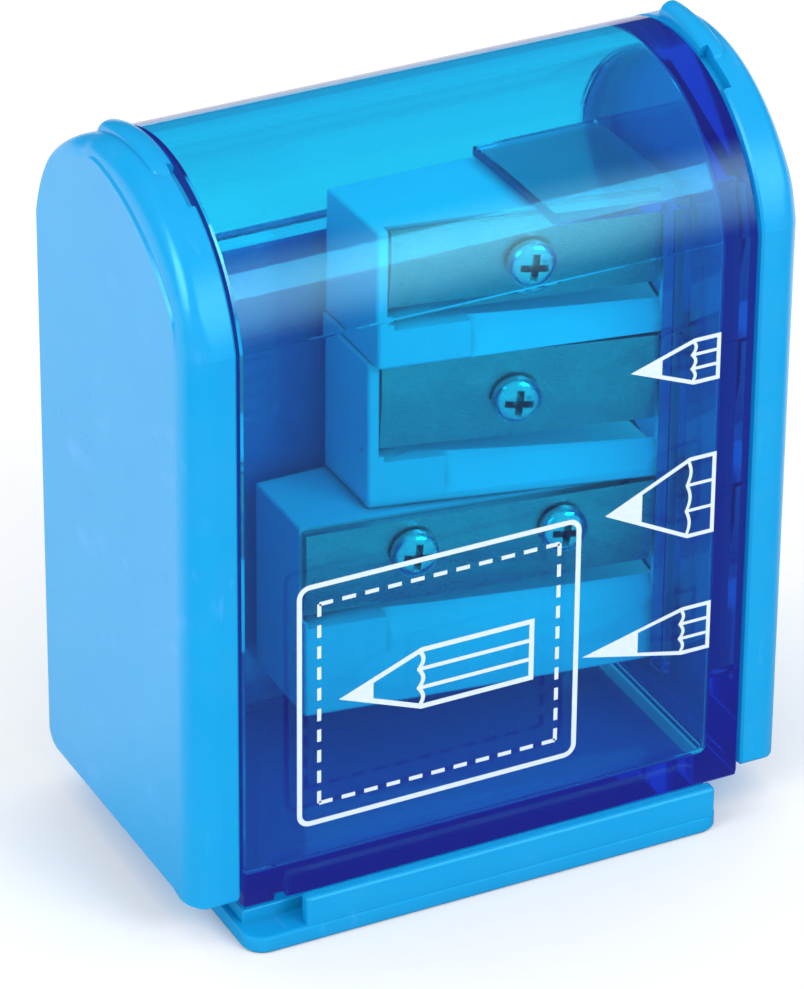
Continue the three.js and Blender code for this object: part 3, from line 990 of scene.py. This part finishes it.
def make_tier(station):
    """One station of the block. Its edges are rounded before anything is cut into it."""
    body = soften(new_piece(tier, station), BLOCK_EDGE)
    for build in (bore, seat, chip_opening, edge_slot):
        body = combine(body, new_piece(build, station), "DIFFERENCE")
    for x in station["screws"]:
        where = station_matrix(station, x, 0, station["rise"])
        hole = moved(where, round_bar, SCREW_HOLE_RADIUS, HOLE_START, SCREW_HOLE_DEPTH)
        body = combine(body, hole, "DIFFERENCE")
    return body


def make_block():
    first, *others = [make_tier(station) for station in STATIONS.values()]
    for part in others:
        first = combine(first, part, "UNION")
    return first


# ---- blades and screws

BLADE_THICKNESS = 0.8
BLADE_BEVEL = 4.4
BLADE_INSET = 0.1
BLADE_HOLE_RADIUS = 1.15
BLADE_EDGE = 0.05
HEAD_RADIUS = 2.0
HEAD_HEIGHT = 1.3
SHANK_RADIUS = 0.85
SCREW_LENGTH = 4.5
CROSS_LENGTH = 2.6
CROSS_WIDTH = 0.6
CROSS_DEPTH = 1.0
CROSS_TURN = 6
EDGE_LAND = 0.04
BLADE_HOLE_DEPTH = 4
SCREW_TIP = 0.6
HEAD_CHAMFER = 0.1
HEAD_RIM = 0.4
DOME_STEPS = 8
DOME_FULLNESS = 0.6
SCREW_EDGE = 0.05


def blade_blank(bm, station):
    """A strip with its front face ground back to the cutting edge at the bottom."""
    turn = math.cos(math.radians(station["tilt"]))
    length = (NECK_START - GAP - station["blade_left"]) / turn
    tall = station["top"] - station["height"] - GAP
    front = -BLADE_THICKNESS
    prism(bm, [(0, 0), (0, tall), (front, tall), (front, BLADE_BEVEL), (-EDGE_LAND, 0)], 0, length)


def make_blade(station):
    where = station_matrix(station, station["blade_left"], SEAT_DEPTH - BLADE_INSET, 0)
    blade = moved(where, blade_blank, station)
    for x in station["screws"]:
        hole_at = station_matrix(station, x, 0, station["rise"])
        hole = moved(hole_at, round_bar, BLADE_HOLE_RADIUS, HOLE_START, BLADE_HOLE_DEPTH)
        blade = combine(blade, hole, "DIFFERENCE")
    return soften(blade, BLADE_EDGE, segments=2)


def screw_body(bm):
    """A plain shank under a domed pan head. The head's underside is near y = 0."""
    profile = [(SHANK_RADIUS * 0.5, SCREW_LENGTH), (SHANK_RADIUS, SCREW_LENGTH - SCREW_TIP)]
    side = HEAD_HEIGHT * HEAD_RIM
    profile += [(SHANK_RADIUS, SCREW_EDGE), (HEAD_RADIUS - HEAD_CHAMFER, SCREW_EDGE)]
    profile += [(HEAD_RADIUS, -SCREW_EDGE), (HEAD_RADIUS, -side)]
    for k in range(1, DOME_STEPS + 1):
        a = math.pi / 2 * k / DOME_STEPS
        dome = (HEAD_HEIGHT - side) * math.sin(a)
        profile.append((max(0.02, HEAD_RADIUS * math.cos(a) ** DOME_FULLNESS), -side - dome))
    spun(bm, profile)


def cross_arm(bm):
    """One tapered bar of the cross recess, cut into the top of the head."""
    top = -HEAD_HEIGHT - 0.3
    floor = -HEAD_HEIGHT + CROSS_DEPTH
    half = CROSS_LENGTH / 2
    wide = CROSS_WIDTH / 2
    loops = []
    for y, long, thick in ((top, half + 0.1, wide * 1.1), (floor, half * 0.55, wide * 0.8)):
        loops.append([(-long, y, -thick), (long, y, -thick), (long, y, thick), (-long, y, thick)])
    loft(bm, loops)


def make_screw(station, x):
    screw = new_piece(screw_body)
    for turn in (CROSS_TURN, CROSS_TURN + 90):
        arm = moved(Matrix.Rotation(math.radians(turn), 4, "Y"), cross_arm)
        screw = combine(screw, arm, "DIFFERENCE")
    soften(screw, SCREW_EDGE, segments=2, angle=40)
    screw.data.transform(station_matrix(station, x, -BLADE_INSET, station["rise"]))
    return screw


# ---- white prints on the front

INK_NEAR = -0.01
INK_FAR = -0.05
INK_STEP = 0.004
OUTLINE_WIDTH = 0.43
THIN_WIDTH = 0.34
DASH = 1.15
DASH_GAP = 0.8
SHARPEST_MITRE = 0.35
INNER_LINE = 0.8


def ink_depths(layer):
    """Depths of the back and front of an ink layer. Each layer is a little thinner than the one before."""
    return INK_NEAR - INK_STEP * layer, INK_FAR + INK_STEP * layer


def ink_area(bm, outline, layer):
    """A filled area of ink from (x, height) points."""
    loft(bm, [[(x, d, h) for x, h in outline] for d in ink_depths(layer)])


def side_points(points, width, closed):
    """Points offset to one side of a line, with mitred corners."""
    made = []
    count = len(points)
    for i, here in enumerate(points):
        before = Vector(points[i - 1]) if closed or i > 0 else None
        after = Vector(points[(i + 1) % count]) if closed or i < count - 1 else None
        c = Vector(here)
        u = (c - before).normalized() if before is not None else (after - c).normalized()
        v = (after - c).normalized() if after is not None else u
        normal = Vector((-u.y - v.y, u.x + v.x)).normalized()
        scale = 1 / max(SHARPEST_MITRE, normal.dot(Vector((-u.y, u.x))))
        made.append(c + normal * width * scale)
    return made


def stroke(bm, points, width, closed=False, layer=0):
    """A line of ink of one width, mitred at its corners."""
    back, front = ink_depths(layer)
    left = side_points(points, width / 2, closed)
    right = side_points(points, -width / 2, closed)
    count = len(points)
    spans = count if closed else count - 1
    rows = [[bm.verts.new((p.x, d, p.y)) for p in row] for d in (front, back) for row in (left, right)]
    front_left, front_right, back_left, back_right = rows
    for i in range(spans):
        j = (i + 1) % count
        bm.faces.new((front_left[i], front_left[j], front_right[j], front_right[i]))
        bm.faces.new((back_right[i], back_right[j], back_left[j], back_left[i]))
        bm.faces.new((front_left[i], back_left[i], back_left[j], front_left[j]))
        bm.faces.new((front_right[j], back_right[j], back_right[i], front_right[i]))
    if not closed:
        for i in (0, count - 1):
            bm.faces.new((front_left[i], front_right[i], back_right[i], back_left[i]))


def dashes(bm, points, width):
    """Stitches along a closed line: short strokes with gaps, a whole number on each side."""
    count = len(points)
    for i, start in enumerate(points):
        a = Vector(start)
        b = Vector(points[(i + 1) % count])
        length = (b - a).length
        number = max(1, round((length + DASH_GAP) / (DASH + DASH_GAP)))
        pitch = (length + DASH_GAP) / number
        along = (b - a).normalized()
        for k in range(number):
            p = a + along * pitch * k
            q = p + along * (pitch - DASH_GAP)
            stroke(bm, [tuple(p), tuple(q)], width)


# Each pencil icon: left and right ends, bottom and top, tip height, end of lead, end of wood
PENCILS = {
    "standard": (11.6, 18.9, 38.0, 41.75, 40.1, 13.9, 16.75),
    "jumbo": (9.6, 18.9, 24.1, 31.1, 27.8, 12.5, 16.7),
    "long_point": (8.0, 18.9, 13.3, 17.4, 15.3, 12.5, 16.5),
}
WAVES = 3
WAVE_STEPS = 6
BADGE_X = (-17.4, 6.9)
BADGE_H = (6.5, 28.1)
BADGE_CORNER = 0.9
STITCH_INSET = 1.7
BADGE_PENCIL_MARGIN = 4
BADGE_PENCIL_HALF = 2.6
BADGE_LEAD = 6.4
BADGE_WOOD = 10.6
WAVE_REACH = 0.9
WAVE_BACK = 0.6


def pencil_print(bm, spec, width):
    """A pencil pointing left: filled lead, wood with a wavy edge, and a barrel with facet lines."""
    left, right, low, high, tip, lead_end, wood_end = spec

    def cone(x, share):
        """A height on the pencil's cone at x; share 0 is its lower edge and 1 its upper edge."""
        t = (x - left) / (wood_end - left)
        bottom = tip + (low - tip) * t
        top = tip + (high - tip) * t
        return bottom + (top - bottom) * share

    body = [(left, tip), (wood_end, low), (right, low), (right, high), (wood_end, high)]
    stroke(bm, body, width, closed=True)
    start = left + width
    ink_area(bm, [(start, tip), (lead_end, cone(lead_end, 0)), (lead_end, cone(lead_end, 1))], 3)
    wave = []
    reach = width * WAVE_REACH
    for i in range(WAVES * WAVE_STEPS + 1):
        t = i / (WAVES * WAVE_STEPS)
        swell = abs(math.sin(math.pi * WAVES * t))
        wave.append((wood_end + reach * (swell - WAVE_BACK), low + (high - low) * t))
    stroke(bm, wave, width * INNER_LINE, layer=1)
    for share in (1 / 3, 2 / 3):
        level = low + (high - low) * share
        stroke(bm, [(wood_end - 0.1, level), (right, level)], width * INNER_LINE, layer=2)


def badge_print(bm):
    """A plain stitched patch with a pencil on it."""
    left, right = BADGE_X
    low, high = BADGE_H
    c = BADGE_CORNER
    outline = arc((right - c, high - c), c, 0, 90, 6) + arc((left + c, high - c), c, 90, 180, 6)
    outline += arc((left + c, low + c), c, 180, 270, 6) + arc((right - c, low + c), c, 270, 360, 6)
    stroke(bm, outline, OUTLINE_WIDTH, closed=True)
    s = STITCH_INSET
    stitched = [(left + s, low + s), (right - s, low + s), (right - s, high - s), (left + s, high - s)]
    dashes(bm, stitched, THIN_WIDTH)
    middle = (low + high) / 2
    ends = (left + BADGE_PENCIL_MARGIN, right - BADGE_PENCIL_MARGIN)
    height = (middle - BADGE_PENCIL_HALF, middle + BADGE_PENCIL_HALF)
    pencil_print(bm, (*ends, *height, middle, left + BADGE_LEAD, left + BADGE_WOOD), OUTLINE_WIDTH)


# ---- the pieces, on their bodies

def build_pieces():
    """Every visible piece: what it is made by, its body, its material slot and the node it stands for."""
    unit = "hopper_unit"
    settle(make_cap(-1), "left_cap_moulding", "frame", "cap_plastic", CAP_PLASTIC, "left_cap")
    settle(add_holes(make_cap(1)), "right_cap_moulding", unit, "cap_plastic", CAP_PLASTIC, "right_cap")
    settle(make_frame(), "base_frame_moulding", "frame", "cap_plastic", CAP_PLASTIC, "base_frame")
    settle(make_hopper(), "clear_hopper_moulding", unit, "clear_plastic", CLEAR_PLASTIC, "clear_hopper")
    settle(make_block(), "sharpener_block_moulding", unit, "block_plastic", BLOCK_PLASTIC, "sharpener_block")
    for name, station in STATIONS.items():
        settle(make_blade(station), "blade_steel_" + name, unit, "blade_steel", BLADE_STEEL, "blade_" + name)
    for name, station in STATIONS.items():
        sides = ("",) if len(station["screws"]) == 1 else ("_left", "_right")
        for x, side in zip(station["screws"], sides):
            which = "screw_" + name + side
            settle(make_screw(station, x), "pan_" + which, unit, "screw_steel", SCREW_STEEL, which)
    settle(new_piece(badge_print), "print_badge", unit, None, INK)
    for name, spec in PENCILS.items():
        settle(new_piece(pencil_print, spec, THIN_WIDTH), "print_pencil_" + name, unit, None, INK)


build_pieces()


# ---- stage, light and camera

AIM_HEIGHT = 0.03
FLOOR_HALF = 3.0
FLOOR_FADE = 0.02
FLAG_COLOR = (0.005, 0.03, 0.08)
WORLD_LIGHT = 1.15
WORLD_REFLECTED = 0.1
GLOW = 5.5
SIDE_GLOW = 14.0
GLOW_COLOR = (0.36, 0.9, 1.0, 1)
FADE_ABOVE = (0.02, 0.46)
FADE_BELOW = (-0.42, 0.0)
WORLD_COLOR = (0.25, 0.7, 1.0)
LIGHT_DISTANCE = 0.8
LENS_MM = 216.15
EYE = (-0.18679, -0.36333, 0.26601)
LOOK = (0.3917, 0.7704, -0.5030)
ROLL_DEGREES = 0.52


def mirror_ray(tree):
    """A value of 1 for rays that a surface reflects like a mirror, otherwise 0."""
    path = node(tree, "ShaderNodeLightPath")
    return multiplied(tree, path.outputs["Is Reflection Ray"], path.outputs["Is Glossy Ray"])


def object_axes(tree):
    where = node(tree, "ShaderNodeTexCoord")
    split = node(tree, "ShaderNodeSeparateXYZ")
    link(tree, where, "Object", split, "Vector")
    return split


def make_floor():
    """Pale paper. In mirror reflections its front half is dark, as a black flag would make it."""
    bm = bmesh.new()
    bmesh.ops.create_grid(bm, x_segments=24, y_segments=24, size=FLOOR_HALF)
    floor = finish_mesh("floor", bm)
    made, tree, output = material_with("floor_paper")
    shader = node(tree, "ShaderNodeBsdfDiffuse")
    fibres = noise(tree, scale=240, detail=4)
    paper = mixed(tree, (0.785, 0.785, 0.785), (0.805, 0.805, 0.805), fibres, "Fac")
    front = remap(tree, object_axes(tree), "Y", -FLOOR_FADE, FLOOR_FADE, 1, 0)
    dark = multiplied(tree, front.outputs["Result"], mirror_ray(tree).outputs["Value"])
    tree.links.new(mixed(tree, paper, FLAG_COLOR, dark, "Value"), shader.inputs["Color"])
    link(tree, shader, "BSDF", output, "Surface")
    floor.data.materials.append(made)


def make_world():
    """White light all round, seen as a dim blue room in mirror reflections."""
    world = bpy.data.worlds.new("studio")
    world.use_nodes = True
    tree = world.node_tree
    tree.nodes.clear()
    output = tree.nodes.new("ShaderNodeOutputWorld")
    back = tree.nodes.new("ShaderNodeBackground")
    mirrored = mirror_ray(tree)
    level = remap(tree, mirrored, "Value", 0, 1, WORLD_LIGHT, WORLD_REFLECTED)
    link(tree, level, "Result", back, "Strength")
    tree.links.new(mixed(tree, (1, 1, 1), WORLD_COLOR, mirrored, "Value"), back.inputs["Color"])
    link(tree, back, "Background", output, "Surface")
    bpy.context.scene.world = world


def aim(thing, direction):
    """Puts a light some way off in a direction, facing the middle of the object."""
    away = Vector(direction).normalized()
    thing.location = Vector((0, 0, AIM_HEIGHT)) + away * LIGHT_DISTANCE
    thing.rotation_euler = away.to_track_quat("Z", "Y").to_euler()


def area(name, direction, size, power):
    """A softbox that lights the object but isn't seen in it; glow_card() is what shows."""
    light = bpy.data.lights.new(name, "AREA")
    light.shape = "RECTANGLE"
    light.size, light.size_y = size
    light.energy = power
    lamp = bpy.data.objects.new(name, light)
    bpy.context.scene.collection.objects.link(lamp)
    aim(lamp, direction)
    lamp.visible_glossy = False


def glow_card(name, direction, size, strength):
    """A softbox as shiny surfaces mirror it: a card that is bright in the middle and fades out."""
    bm = bmesh.new()
    bmesh.ops.create_grid(bm, x_segments=12, y_segments=12, size=0.5)
    card = finish_mesh(name, bm)
    card.scale = (*size, 1)
    aim(card, direction)
    made, tree, output = material_with(name)
    across = object_axes(tree)
    above = remap(tree, across, "Y", *FADE_ABOVE, 1, 0)
    below = remap(tree, across, "Y", *FADE_BELOW, 0, 1)
    above.interpolation_type = "SMOOTHSTEP"
    below.interpolation_type = "SMOOTHSTEP"
    both = multiplied(tree, above.outputs["Result"], below.outputs["Result"])
    level = remap(tree, both, "Value", 0, 1, 0.0, strength)
    light = node(tree, "ShaderNodeEmission", Color=GLOW_COLOR)
    link(tree, level, "Result", light, "Strength")
    link(tree, light, "Emission", output, "Surface")
    card.data.materials.append(made)
    card.visible_camera = False
    card.visible_diffuse = False
    card.visible_transmission = False
    card.visible_shadow = False


def make_lights():
    area("key_softbox", direction=(0.39, -0.77, 0.55), size=(0.34, 0.22), power=2.3)
    area("side_softbox", direction=(-0.9, -0.2, 0.45), size=(0.5, 0.5), power=2.4)
    glow_card("key_card", direction=(0.392, -0.84, 0.42), size=(0.9, 0.95), strength=GLOW)
    glow_card("side_card", direction=(-0.9, -0.17, 0.38), size=(0.36, 0.7), strength=SIDE_GLOW)


def make_camera():
    camera = bpy.data.cameras.new("camera")
    camera.lens = LENS_MM
    camera.clip_start = 0.01
    eye = bpy.data.objects.new("camera", camera)
    bpy.context.scene.collection.objects.link(eye)
    forward = Vector(LOOK).normalized()
    flat = Vector((forward.y, -forward.x, 0)).normalized()
    up = flat.cross(forward)
    roll = math.radians(ROLL_DEGREES)
    right = flat * math.cos(roll) + up * math.sin(roll)
    up = up * math.cos(roll) - flat * math.sin(roll)
    turn = Matrix((right, up, -forward)).transposed().to_4x4()
    eye.matrix_world = Matrix.Translation(EYE) @ turn
    bpy.context.scene.camera = eye


make_floor()
make_world()
make_lights()
make_camera()
bpy.context.scene.view_settings.view_transform = "Standard"
